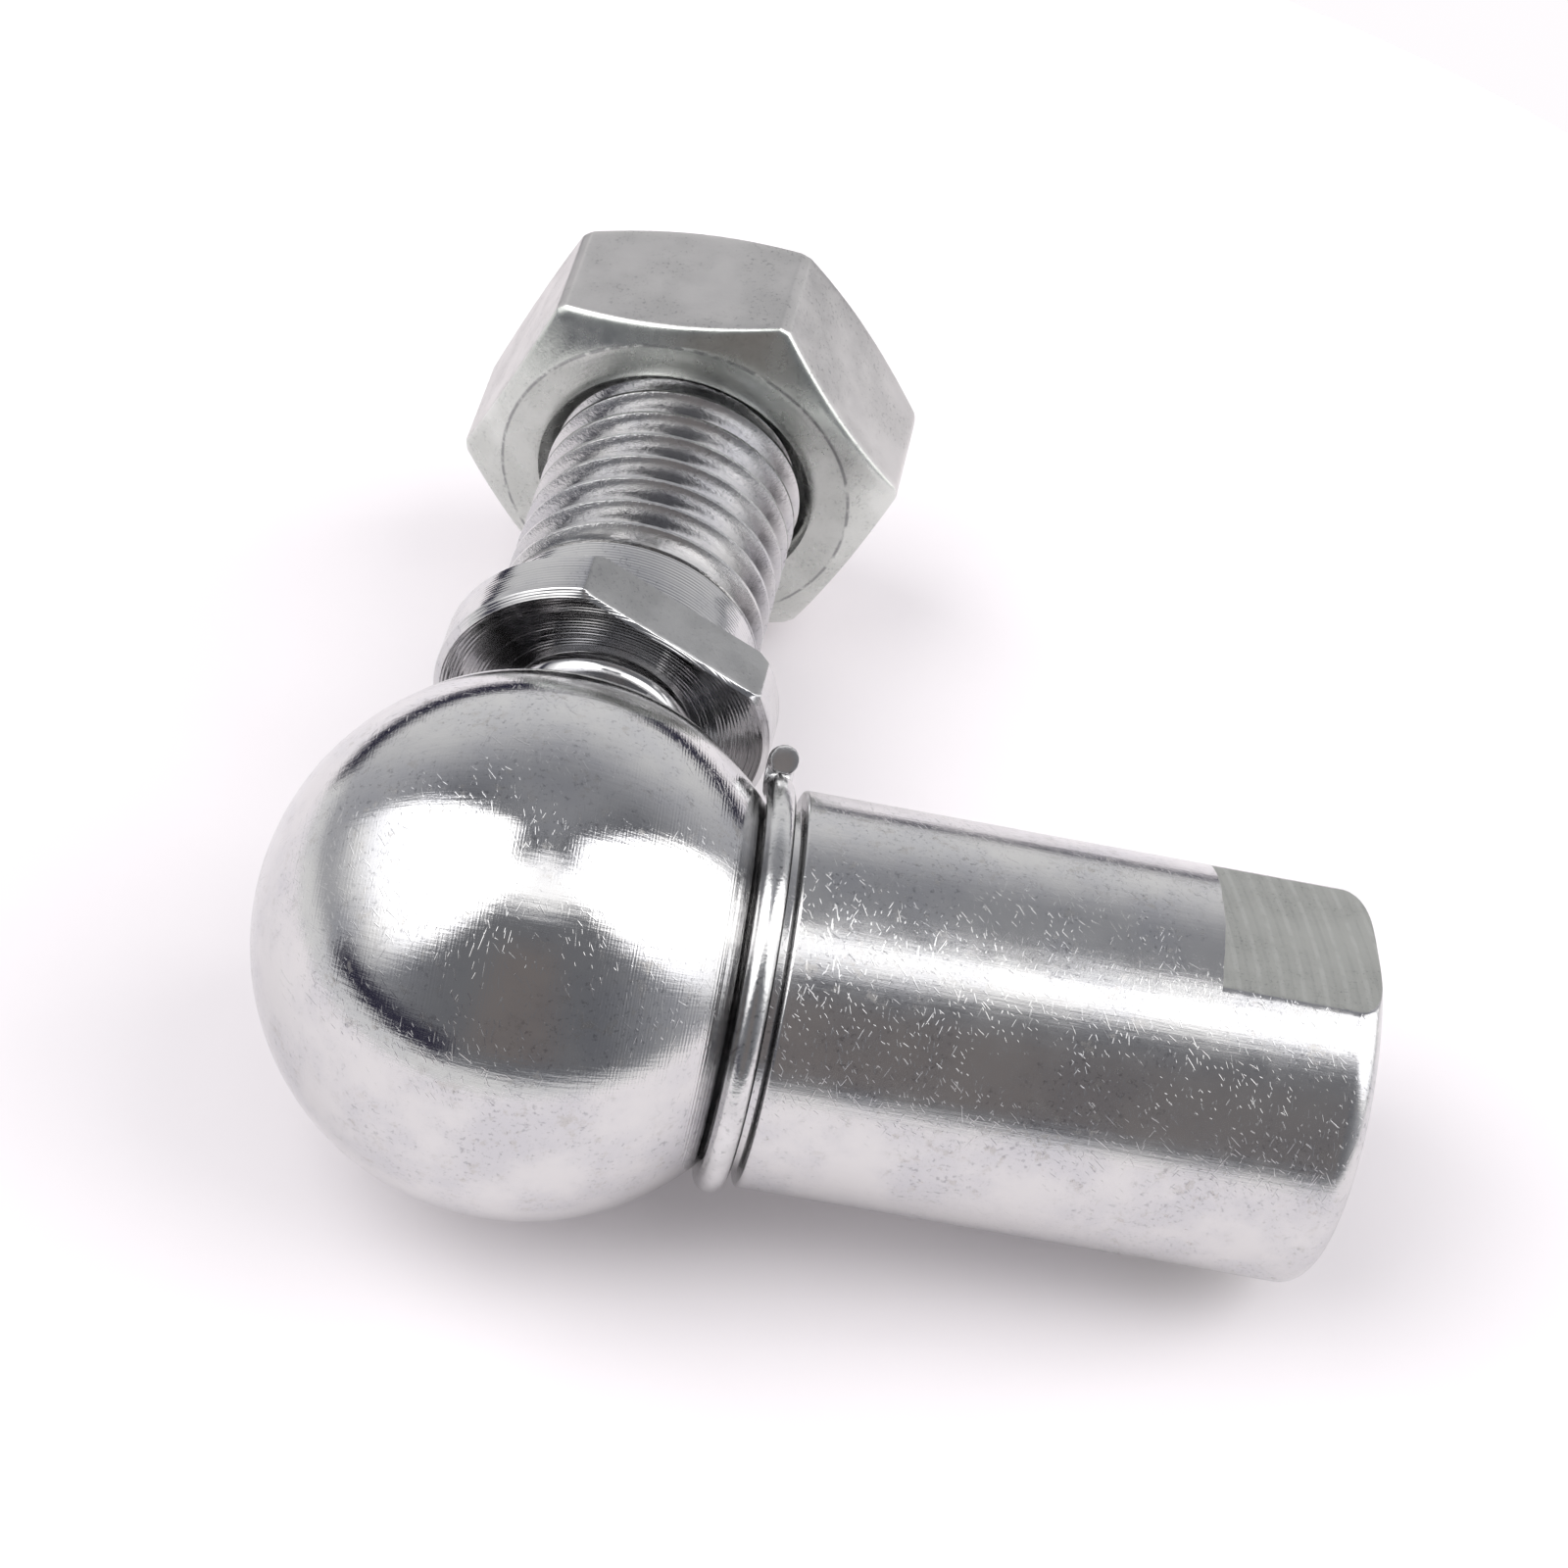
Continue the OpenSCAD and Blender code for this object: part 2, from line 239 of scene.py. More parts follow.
def neck_mesh():
    """The grooved neck with its milled flats and its threaded hole."""
    groove_end = NECK_START - 0.9
    rows = [(NECK_ROOT, 0.0), (NECK_ROOT, 5.0), (NECK_ROOT, 9.2), (11.2, 9.88),
            (GROOVE_START, GROOVE_R), (groove_end, GROOVE_R)]
    rows += fillet([(groove_end, GROOVE_R, 0), (NECK_START, GROOVE_R, 0.25),
                    (NECK_START, NECK_R, 0.22), (20, NECK_R, 0)], 5)[1:-1]
    rows += [(x, NECK_R) for x in np.linspace(NECK_START + 0.9, NECK_FLAT_X - 0.4, 32)]
    step = len(rows)                          # first row at the step down to the flats
    rows += [(NECK_FLAT_X + d, NECK_R) for d in (-0.15, -0.05, 0.0)]
    wall = len(rows)                          # first row at the foot of the step
    rows += [(NECK_FLAT_X + d, NECK_R) for d in (0.0, 0.04, 0.12)]
    rows += [(x, NECK_R) for x in np.linspace(NECK_FLAT_X + 0.24, NECK_END - NECK_EDGE - 0.06, 52)]
    rows += arc((NECK_END - NECK_EDGE, NECK_R - NECK_EDGE), NECK_EDGE, 90, 0, 18)
    rim = len(rows)                           # first row of the flat end of the neck
    rows += fillet([(NECK_END, NECK_R - NECK_EDGE, 0), (NECK_END, HOLE_R + HOLE_BEVEL, 0.08),
                    (NECK_END - 0.3, HOLE_R + HOLE_BEVEL - 0.3, 0)], 3)[1:-1]
    along, radius, turns = [], [], []
    for i, (x, r) in enumerate(rows):
        edge = math.degrees(math.acos(min(1, NECK_FLAT / max(r, NECK_FLAT + 0.001))))
        edge = max(edge, 8.0) if i < rim else 8.0
        a = flat_columns(edge, NECK_FLAT_TURN, INSIDE, OUTSIDE)
        s, q = np.full_like(a, x), np.full_like(a, r)
        off = a - math.radians(NECK_FLAT_TURN)
        if wall <= i < rim:
            side = NECK_FLAT * np.tan(off)
            band = (x - NECK_FLAT_X + BAND_BEND * (side + BAND_SHIFT) ** 2) / BAND_PITCH
            rough = np.array([noise.noise((x * 2.2, t * 0.7, 4.0)) for t in side])
            cutter = BAND_DEPTH * (np.sin(2 * math.pi * band) + rough)
            flat = (NECK_FLAT + cutter - 0.01) / np.maximum(np.abs(np.cos(off)), 0.05)
            q = soft_min(q, flat, 0.1)
        if step - 1 <= i <= wall:
            rag = np.array([noise.noise((t * 9, 0.3, 7.0)) for t in a])
            depth = np.clip((NECK_R - NECK_FLAT / np.maximum(np.abs(np.cos(off)), 0.05)) / 0.4, 0, 1)
            s = s + 0.07 * rag * depth
            burr = BURR_HEIGHT * np.exp(-((np.degrees(off) - BURR_TURN) / BURR_WIDTH) ** 2)
            q = q + (burr + 0.02 * np.abs(rag) * depth) * (i in (wall - 1, wall - 2))
        along.append(s)
        radius.append(q)
        turns.append(a)
    turn = turns[-1]
    s, q = thread_rows(HOLE_X, NECK_END - 0.3, turn, HOLE_R, HOLE_THREAD_R)
    cone = HOLE_R + HOLE_BEVEL - (NECK_END - s)
    fade = np.clip((s - HOLE_X) / 3.0, 0, 1)
    q = np.maximum(HOLE_R + (q - HOLE_R) * fade, cone)
    along += list(s[::-1]) + [np.full_like(turn, HOLE_X - HOLE_POINT)]
    radius += list(q[::-1]) + [np.zeros_like(turn)]
    turns += [turn] * (len(s) + 1)
    return skin("ball_socket_body", np.array(along), np.array(radius), np.array(turns), NECK_AXIS)


def join_solids(body, tool):
    """Joins one closed mesh to another, and keeps the result."""
    bpy.context.view_layer.update()
    union = body.modifiers.new("solid", "BOOLEAN")
    union.object, union.operation, union.solver = tool, "UNION", "EXACT"
    mesh = bpy.data.meshes.new_from_object(
        body.evaluated_get(bpy.context.evaluated_depsgraph_get()))
    body.modifiers.clear()
    body.data = mesh
    bpy.data.objects.remove(tool)
    return body


# ---------------------------------------------------------------- ball stud

def collar_mesh():
    """The stud's collar: a disc with two milled flats and a ragged near edge."""
    edge = COLLAR_EDGE
    rows = [(COLLAR_START, r) for r in (0.0, 4.0, 7.0, 8.0, 8.8)]
    rows += fillet([(COLLAR_START, COLLAR_FACE_R, 0), (COLLAR_START, COLLAR_R - edge, 0.08),
                    (COLLAR_START + edge * 0.5, COLLAR_R - edge * 0.5, 0)], 4)
    rows += fillet([(COLLAR_START + edge * 0.6, COLLAR_R - edge * 0.4, 0),
                    (COLLAR_START + edge, COLLAR_R, 0.12), (COLLAR_START + 1, COLLAR_R, 0)], 4)
    rows += fillet([(COLLAR_START + 2, COLLAR_R, 0), (COLLAR_END - edge, COLLAR_R, 0.12),
                    (COLLAR_END, COLLAR_R - edge, 0.08), (COLLAR_END, COLLAR_FACE_R, 0)], 4)
    rows += [(COLLAR_END, r) for r in (8.5, 4.0, 0.0)]
    along, radius, turns = [], [], []
    for s, r in rows:
        near = math.degrees(math.acos(COLLAR_FLAT / max(r, 9.3)))
        a = flat_columns(near, COLLAR_FLAT_TURN, INSIDE, OUTSIDE)
        flat = COLLAR_FLAT - max(0.0, COLLAR_FLAT_EDGE - (s - COLLAR_START))
        off = a - math.radians(COLLAR_FLAT_TURN)
        q = soft_min(np.full_like(a, r), flat / np.maximum(np.abs(np.cos(off)), 0.05), 0.06)
        rag = np.array([noise.noise((math.cos(t) * 14, math.sin(t) * 14, s * 3)) for t in a])
        at_edge = math.exp(-((s - COLLAR_START - 0.2) / 0.16) ** 2) * (r > 9.0)
        along.append(s + RAG_ALONG * rag * at_edge)
        radius.append(q - RAG_DEEP * np.abs(rag) * at_edge)
        turns.append(a)
    return skin("collar_blank", np.array(along), np.array(radius), np.array(turns), STUD_AXIS)


def stud_mesh():
    """Ball, thin neck, plain shank and M16 thread, all turned round the stud's axis."""
    root_s = math.sqrt((BALL_R + STEM_ROOT) ** 2 - (STEM_R + STEM_ROOT) ** 2)
    root_a = math.degrees(math.atan2(STEM_R + STEM_ROOT, root_s))
    rows = arc((0, 0), BALL_R, 180, root_a, 60)
    rows += arc((root_s, STEM_R + STEM_ROOT), STEM_ROOT, 180 + root_a, 270, 7)[1:]
    rows += [np.array([s, STEM_R]) for s in np.linspace(root_s + 0.6, 16.2, 6)]
    rows += arc((COLLAR_START - STEM_FILLET, STEM_R + STEM_FILLET), STEM_FILLET, 270, 352, 8)
    rows += [np.array([COLLAR_START + 0.6, 6.0]), np.array([COLLAR_START + 1.5, SHANK_R])]
    rows += fillet([(COLLAR_END - 0.5, SHANK_R, 0), (THREAD_START - THREAD_EASE, SHANK_R, 0.12),
                    (THREAD_START, SHANK_R - THREAD_EASE, 0)], 4)[:-1]
    turn = np.linspace(0, 2 * math.pi, 145)
    s, q = thread_rows(THREAD_START, STUD_END, turn, THREAD_R, THREAD_ROOT_R)
    fade = np.clip((s - THREAD_START + THREAD_EASE) / 1.4, 0, 1)
    q = np.minimum(THREAD_R - (THREAD_R - q) * fade, THREAD_R - (s - STUD_END + STUD_BEVEL))
    along = [np.full_like(turn, r[0]) for r in rows] + list(s)
    radius = [np.full_like(turn, max(r[1], 0.0)) for r in rows] + list(q)
    for r in (6.4, 3.0, 0.0):
        along.append(np.full_like(turn, STUD_END))
        radius.append(np.full_like(turn, r))
    return skin("ball_stud_body", np.array(along), np.array(radius), turn[None], STUD_AXIS)


# ---------------------------------------------------------------- hexagon nut

def nut_mesh():
    """Low hexagon nut, bevelled on both sides, with its thread."""
    steps = np.array([0, 0.6, 1.1, 1.5, 2.0, 3.2, 6, 10, 15, 20, 25, 30, 35, 40, 45, 50, 54,
                      56.8, 58, 58.5, 58.9, 59.4])
    turn = np.radians(np.concatenate([steps + 60 * k for k in range(6)] + [[360.0]]) + NUT_TURN)
    away = np.radians(np.abs(np.concatenate([steps] * 6 + [[0.0]]) - 30))
    outer = soft_min(np.full_like(turn, NUT_CORNER_R), NUT_FLAT / np.cos(away), 0.06)
    bore = NUT_THREAD_R + NUT_BEVEL
    along, radius = [], []

    def row(s, r):
        along.append(np.broadcast_to(s, turn.shape))
        radius.append(np.broadcast_to(r, turn.shape))

    for r in (bore, bore + 0.06, 9.2, 9.8, 10.4, NUT_FACE_R - 0.07):
        row(0.0 if r > bore else NUT_LIP, r)
    rise = (outer - NUT_FACE_R) * NUT_SLOPE
    flank = [t * (rise - NUT_ROUND) for t in (0.05, 0.35, 0.7)]
    flank += [rise + d * NUT_ROUND for d in (-0.95, -0.6, -0.35, -0.15, 0.0, 0.15, 0.35, 0.6, 1.0)]
    flank += [rise + NUT_ROUND + t * (NUT_H / 2 - rise - NUT_ROUND) for t in (0.1, 0.4, 0.7, 1.0)]
    bevel = [soft_min(outer, NUT_FACE_R + s / NUT_SLOPE, 2 * NUT_ROUND) for s in flank]
    for s, r in zip(flank, bevel):
        row(s, r)
    for s, r in zip(flank[-2::-1], bevel[-2::-1]):
        row(NUT_H - s, r)
    for r in (NUT_FACE_R - 0.07, 10.4, 9.8, 9.2, bore + 0.06, bore):
        row(NUT_H - (0.0 if r > bore else NUT_LIP), r)
    s, q = thread_rows(NUT_NEAR + NUT_LIP, NUT_NEAR + NUT_H - NUT_LIP,
                       turn, NUT_CORE_R, NUT_THREAD_R)
    near, far = s - NUT_NEAR, NUT_NEAR + NUT_H - s
    q = np.maximum(q, bore + NUT_LIP - np.minimum(near, far))
    along = [a + NUT_NEAR for a in along] + list(s[::-1]) + [along[0] + NUT_NEAR]
    radius = radius + list(q[::-1]) + [radius[0]]
    return skin("hex_nut_body", np.array(along), np.array(radius), turn[None], STUD_AXIS)


# ---------------------------------------------------------------- wires

def wire(name, line, r, sides=20, end_round=0.15):
    """A round wire along a line of points, with slightly rounded ends."""
    line = np.array(line, float)
    heading = np.gradient(line, axis=0)
    heading /= np.linalg.norm(heading, axis=1)[:, None]
    side = np.array([1.0, 0.0, 0.0])
    side -= (side @ heading[0]) * heading[0]
    rings = []
    t = np.linspace(0, 2 * math.pi, sides, endpoint=False)
    for p, h in zip(line, heading):
        side = side - (side @ h) * h
        side /= np.linalg.norm(side)
        up = np.cross(h, side)
        rings.append(p + r * (np.outer(np.cos(t), side) + np.outer(np.sin(t), up)))
    ends = []
    for ring, p, h in ((rings[0], line[0], -heading[0]), (rings[-1], line[-1], heading[-1])):
        ends.append([p + (ring - p) * k + h * lift * end_round for k, lift in
                     ((0.995, 0.4), (0.93, 0.85), (0.8, 1.0), (0.4, 1.02))]
                    + [np.repeat((p + h * 1.02 * end_round)[None], sides, 0)])
    rings = ends[0][::-1] + rings + ends[1]
    points = np.concatenate(rings)
    faces = [(i * sides + k, i * sides + (k + 1) % sides,
              (i + 1) * sides + (k + 1) % sides, (i + 1) * sides + k)
             for i in range(len(rings) - 1) for k in range(sides)]
    return make_object(name, points, faces, smooth_angle=40)


def ring_point(r, a):
    """A point in the plane of the clip's ring, at a radius and an angle in degrees."""
    return np.array([CLIP_X, r * math.cos(math.radians(a)), r * math.sin(math.radians(a))])


def clip_line():
    """Middle line of the clip's wire: grip tail, grip loop, ring, arm with its bend, hook."""
    c, s = math.cos(math.radians(GRIP_ANGLE)), math.sin(math.radians(GRIP_ANGLE))
    out, back = np.array([0, c, s]), np.array([0, s, -c])
    grip_mid = ring_point(CLIP_R + GRIP_R, GRIP_ANGLE)
    hook_out = math.hypot(HOOK_Y, HOOK_R)
    arm = 360 - math.degrees(math.atan2(HOOK_R, HOOK_Y) + math.acos(CLIP_R / hook_out))
    rise = np.array([0, -math.sin(math.radians(arm)), math.cos(math.radians(arm))])
    corner = np.array([CLIP_X, HOOK_Y, -HOOK_R])
    bend_mid = corner - ARM_BEND * (rise + X)
    line = [ring_point(CLIP_R + 2 * GRIP_R, a)
            for a in np.linspace(GRIP_ANGLE + GRIP_TAIL, GRIP_ANGLE + 1, 6)]
    line += [grip_mid + GRIP_R * (math.cos(t) * out + math.sin(t) * back)
             for t in np.radians(np.linspace(0, 180, 19))]
    line += [ring_point(CLIP_R, a) for a in np.linspace(GRIP_ANGLE + 2, arm, 120)]
    straight = bend_mid + ARM_BEND * X
    line += [line[-1] + (straight - line[-1]) * t for t in (0.1, 0.3, 0.5, 0.7, 0.9)]
    line += [bend_mid + ARM_BEND * (math.cos(t) * X + math.sin(t) * rise)
             for t in np.radians(np.linspace(0, 90, 13))]
    line += [np.array([HOOK_SHIFT - HOOK_R * math.sin(b), HOOK_Y, -HOOK_R * math.cos(b)])
             for b in np.radians(np.linspace(0, HOOK_ARC, 40))]
    return line


def snap_line():
    """Middle line of the snap ring's wire, open at the neck's side."""
    half_gap = math.asin(SNAP_HALF_GAP / SNAP_R)
    return [np.array([SNAP_R * math.cos(t), SNAP_Y, -SNAP_R * math.sin(t)])
            for t in np.linspace(half_gap, 2 * math.pi - half_gap, 120)]


# ---------------------------------------------------------------- materials

class Tree:
    """Short names for making a node tree."""

    def __init__(self, tree):
        self.tree = tree
        tree.nodes.clear()

    def node(self, kind, links=(), **settings):
        made = self.tree.nodes.new(kind)
        for key, value in settings.items():
            setattr(made, key, value)
        for key, value in dict(links).items():
            if isinstance(value, bpy.types.NodeSocket):
                self.tree.links.new(value, made.inputs[key])
            else:
                made.inputs[key].default_value = value
        return made

    def math(self, operation, *values):
        return self.node("ShaderNodeMath", enumerate(values), operation=operation).outputs[0]

    def vector(self, operation, *values):
        made = self.node("ShaderNodeVectorMath", enumerate(values), operation=operation)
        return made.outputs["Value" if operation == "DOT_PRODUCT" else "Vector"]

    def join(self, x, y, z=0.0):
        return self.node("ShaderNodeCombineXYZ", {"X": x, "Y": y, "Z": z}).outputs[0]

    def ramp(self, value, low, high, to_low=0.0, to_high=1.0):
        """A smooth step from to_low, where the value is low, to to_high, where it is high."""
        return self.node("ShaderNodeMapRange", {
            "Value": value, "From Min": low, "From Max": high,
            "To Min": to_low, "To Max": to_high}, interpolation_type="SMOOTHSTEP").outputs[0]

    def noise(self, vector, scale, detail=2.0, rough=0.5, dimensions="3D"):
        return self.node("ShaderNodeTexNoise", {
            "Vector": vector, "Scale": scale, "Detail": detail, "Roughness": rough},
            noise_dimensions=dimensions).outputs[0]

    def colour(self, factor, a, b):
        """Colour a, or b where the factor is 1."""
        made = self.tree.nodes.new("ShaderNodeMix")
        made.data_type = "RGBA"
        for socket, value in ((made.inputs[0], factor), (made.inputs[6], a), (made.inputs[7], b)):
            if isinstance(value, bpy.types.NodeSocket):
                self.tree.links.new(value, socket)
            else:
                socket.default_value = value
        return made.outputs[2]

    def bump(self, height, depth, normal=None):
        links = {"Height": height, "Distance": depth * MM, "Strength": 1.0}
        if normal is not None:
            links["Normal"] = normal
        return self.node("ShaderNodeBump", links).outputs[0]


def place_on_axis(t, axis):
    """Position in mm along an axis, radius from it, angle round it and the plain position."""
    at = t.node("ShaderNodeTexCoord").outputs["Object"]
    at = t.vector("SCALE", at)
    at.node.inputs["Scale"].default_value = 1 / MM
    u, v, w = (tuple(float(c) for c in d) for d in axis)
    across_u, across_v = t.vector("DOT_PRODUCT", at, u), t.vector("DOT_PRODUCT", at, v)
    along = t.vector("DOT_PRODUCT", at, w)
    radius = t.math("SQRT", t.math("ADD", t.math("MULTIPLY", across_u, across_u),
                                   t.math("MULTIPLY", across_v, across_v)))
    turn = t.math("ARCTAN2", across_v, across_u)
    return at, along, radius, turn


def ticks(t, plane, scale, length, width, share, lean, seed):
    """Short straight scratches in a plane: one per cell, turned at random about a lean."""
    shifted = t.vector("ADD", plane, (seed * 7.3, seed * 3.1, 0.0))
    cell = t.node("ShaderNodeTexVoronoi", {"Vector": shifted, "Scale": scale, "Randomness": 1.0},
                  voronoi_dimensions="2D", feature="F1")
    off = t.vector("SUBTRACT", shifted, cell.outputs["Position"])
    pick = t.node("ShaderNodeSeparateColor", {"Color": cell.outputs["Color"]}).outputs
    angle = t.math("MULTIPLY_ADD", t.math("SUBTRACT", pick[0], 0.5), lean[1], lean[0])
    way = t.join(t.math("COSINE", angle), t.math("SINE", angle))
    across = t.join(t.math("MULTIPLY", t.math("SINE", angle), -1.0), t.math("COSINE", angle))
    run = t.math("ABSOLUTE", t.vector("DOT_PRODUCT", off, way))
    beside = t.math("ABSOLUTE", t.vector("DOT_PRODUCT", off, across))
    inside = t.math("MULTIPLY", t.ramp(run, length * 0.5, length * 0.2),
                    t.ramp(beside, width, width * 0.2))
    return t.math("MULTIPLY", inside, t.ramp(pick[1], 1 - share, 1.1 - share))


class Finish:
    """A metal finish built up in steps: patches of colour, then lines, grain and ticks.
    Depths, pitches and lengths are in mm, and scales are per mm."""

    def __init__(self, name, axis, unroll, tone, dark, rough):
        self.material = bpy.data.materials.new(name)
        self.material.use_nodes = True
        self.axis = axis
        t = self.t = Tree(self.material.node_tree)
        self.at, self.along, self.radius, turn = place_on_axis(t, axis)
        self.around = t.math("MULTIPLY", turn, unroll)
        self.plane = t.join(self.along, self.around)
        self.cloud = t.noise(self.at, 0.22, 4.0, 0.6)
        self.colour = t.colour(t.ramp(self.cloud, 0.35, 0.68), tone, dark)
        self.rough = t.ramp(t.noise(self.at, 0.5, 4.0, 0.65), 0.3, 0.7, *rough)
        self.normal = None

    def relief(self, height, depth, mask=None):
        if mask is not None:
            height = self.t.math("MULTIPLY", height, mask)
        self.normal = self.t.bump(height, depth, self.normal)

    def tint(self, amount, mask, colour):
        self.colour = self.t.colour(self.t.math("MULTIPLY", mask, amount), self.colour, colour)

    def specks(self, amount, scale, colour, dulled=0.0):
        """Small specks or smudges, gathered in patches, and duller by a given roughness."""
        t = self.t
        speck = t.ramp(t.noise(self.at, scale, 5.0, 0.7), 0.55, 0.66)
        mask = t.math("MULTIPLY", speck, t.ramp(self.cloud, 0.40, 0.58))
        self.tint(amount, mask, colour)
        if dulled:
            self.rough = t.math("MULTIPLY_ADD", mask, dulled, self.rough)

    def turned(self, run, pitch, depth, mask=None):
        """Regular turning lines, uneven in depth."""
        t = self.t
        wave = t.math("SINE", t.math("MULTIPLY", run, 2 * math.pi / pitch))
        uneven = t.noise(t.join(run, t.math("MULTIPLY", self.around, 0.02)), 2.0, 3.0, 0.7, "2D")
        self.relief(t.math("MULTIPLY", wave, t.ramp(uneven, 0.3, 0.7)), depth, mask)

    def rings(self, scale, depth, mask=None):
        """Irregular fine lines round the axis."""
        where = self.t.join(self.along, self.radius)
        self.relief(self.t.noise(where, scale, 3.0, 0.75, "2D"), depth, mask)

    def streaks(self, depth):
        """Faint drawn streaks along the axis."""
        t = self.t
        where = t.join(t.math("MULTIPLY", self.along, 0.12), t.math("MULTIPLY", self.around, 2.2))
        self.relief(t.noise(where, 1.0, 4.0, 0.7, "2D"), depth)

    def grain(self, scale, depth, mask=None):
        self.relief(self.t.noise(self.at, scale, 4.0, 0.7), depth, mask)

    def nicks(self, depth, sizes, lean, share, mask):
        """Layers of ticks, (cells per mm, length, width) each, thicker on the ground in places."""
        t = self.t
        marks = [ticks(t, self.plane, scale, length, width, share, lean, k + 1)
                 for k, (scale, length, width) in enumerate(sizes)]
        total = marks[0]
        for mark in marks[1:]:
            total = t.math("MAXIMUM", total, mark)
        where = t.ramp(t.noise(self.plane, 0.16, 2.0, 0.5, "2D"), 0.38, 0.6, 0.35, 1.0)
        self.relief(total, depth, t.math("MULTIPLY", where, mask))

    def made(self, anisotropic=0.0):
        t = self.t
        links = {"Base Color": self.colour, "Metallic": 1.0, "Roughness": self.rough}
        if self.normal is not None:
            links["Normal"] = self.normal
        shader = t.node("ShaderNodeBsdfPrincipled", links)
        if anisotropic:
            shader.inputs["Anisotropic"].default_value = anisotropic
            shader.inputs["Anisotropic Rotation"].default_value = 0.25
            round_axis = t.vector("CROSS_PRODUCT", tuple(float(c) for c in self.axis[2]), self.at)
            turned = t.node("ShaderNodeVectorTransform", {"Vector": round_axis},
                            vector_type="VECTOR", convert_from="OBJECT", convert_to="WORLD")
            t.tree.links.new(turned.outputs[0], shader.inputs["Tangent"])
        t.node("ShaderNodeOutputMaterial", {"Surface": shader.outputs[0]})
        return self.material


ZINC, ZINC_SHADE = (0.63, 0.625, 0.62, 1), (0.545, 0.545, 0.56, 1)
# The dark grime colour is used for real dirt specks and for dark rings and bands, and also as
# painted shade in the stud's thread roots.
SMUDGE, GRIME_AND_SHADE, BARE = (0.45, 0.43, 0.40, 1), (0.16, 0.16, 0.17, 1), (0.9, 0.9, 0.88, 1)


def socket_zinc():
    """Bright zinc on the turned socket: fine lines near the groove, nicks, drawn streaks."""
    f = Finish("bright_zinc_socket", NECK_AXIS, 11.0, ZINC, ZINC_SHADE, (0.07, 0.13))
    t = f.t
    on_head = t.ramp(f.along, GROOVE_START, GROOVE_START - 1)
    f.rough = t.math("ADD", f.rough, t.ramp(f.along, GROOVE_START, GROOVE_START + 1, 0.0, 0.10))
    f.specks(0.5, 1.1, SMUDGE, 0.12)
    f.specks(0.45, 3.4, GRIME_AND_SHADE)
    near_groove = t.math("MULTIPLY", on_head, t.ramp(f.along, 0.0, 10.0, 0.25, 1.0))
    f.turned(f.along, 0.17, 0.0026, near_groove)
    f.rings(4.5, 0.0040, on_head)
    f.streaks(0.008)
    f.grain(6.0, 0.0034)
    f.nicks(0.0085, [(0.6, 1.1, 0.034), (1.1, 0.7, 0.032), (1.5, 0.45, 0.030),
                     (2.3, 0.25, 0.030)], (1.2, 1.7), 0.6,
            t.ramp(f.along, GROOVE_START, GROOVE_START + 1, 0.7, 1.0))
    return f.made(0.45)


def stud_zinc():
    """Bright zinc on the stud: lathe lines on collar and shank, painted shade in the thread's roots,
    rough crests.
    """
    f = Finish("bright_zinc_stud", STUD_AXIS, 8.0, ZINC, ZINC_SHADE, (0.07, 0.13))
    t = f.t
    f.specks(0.5, 4.0, GRIME_AND_SHADE)
    plain = t.math("MULTIPLY", t.ramp(f.radius, 5.7, 6.1),
                   t.ramp(f.along, THREAD_START - 0.1, THREAD_START - 0.3))
    f.turned(t.math("ADD", f.along, f.radius), 0.22, 0.0052, plain)
    thread = t.ramp(f.along, THREAD_START - 0.2, THREAD_START + 0.2)
    # Painted shade: the thread's flanks and roots are darkened towards the root with the dark grime
    # colour, in place of the shade that falls in the thread's grooves.
    f.tint(0.4, t.math("MULTIPLY", thread, t.ramp(f.radius, 7.75, 7.1)), GRIME_AND_SHADE)
    f.grain(2.2, 0.030, t.math("MULTIPLY", thread, t.ramp(f.radius, 6.8, 7.7, 0.2, 1.0)))
    f.grain(4.5, 0.030, t.math("MULTIPLY", thread, t.ramp(f.radius, 7.2, 7.8)))
    f.rings(8.0, 0.0022)
    return f.made(0.35)


def milled_zinc(name, axis, tone, band_pitch=None):
    """Dull zinc on a milled flat, with curved cutter bands where a pitch is given."""
    f = Finish(name, axis, 10.0, tone, tuple(0.88 * c for c in tone[:3]) + (1,), (0.34, 0.44))
    t = f.t
    f.specks(0.5, 5.0, GRIME_AND_SHADE)
    f.grain(5.0, 0.014)
    if band_pitch:
        side = t.vector("DOT_PRODUCT", f.at, tuple(float(c) for c in axis[0]))
        bend = t.math("MULTIPLY", t.math("POWER", t.math("ADD", side, BAND_SHIFT), 2.0),
                      BAND_BEND)
        run = t.math("ADD", f.along, bend)
        f.turned(run, band_pitch, 0.022)
        wave = t.math("SINE", t.math("MULTIPLY", run, 2 * math.pi / band_pitch))
        broken = t.ramp(t.noise(f.at, 1.1, 3.0), 0.3, 0.55)
        f.tint(0.10, t.math("MULTIPLY", t.ramp(wave, 0.80, 0.98), broken), GRIME_AND_SHADE)
        f.tint(0.14, t.math("MULTIPLY", t.ramp(wave, -0.55, -0.98), broken), BARE)
    return f.made()


def nut_face_zinc():
    """Smooth zinc on the nut's ends and bevels, with a dark ring where they meet."""
    f = Finish("smooth_zinc_nut_ends", STUD_AXIS, 12.0, (0.66, 0.68, 0.65, 1),
               (0.56, 0.58, 0.55, 1), (0.20, 0.30))
    t = f.t
    ring = t.ramp(t.math("ABSOLUTE", t.math("SUBTRACT", f.radius, NUT_FACE_R)), 0.16, 0.03)
    broken = t.ramp(t.noise(f.at, 1.6, 3.0), 0.35, 0.55)
    f.tint(0.65, t.math("MULTIPLY", ring, broken), GRIME_AND_SHADE)
    f.specks(0.35, 4.0, GRIME_AND_SHADE)
    f.rings(5.0, 0.003)
    f.grain(5.0, 0.006)
    return f.made()


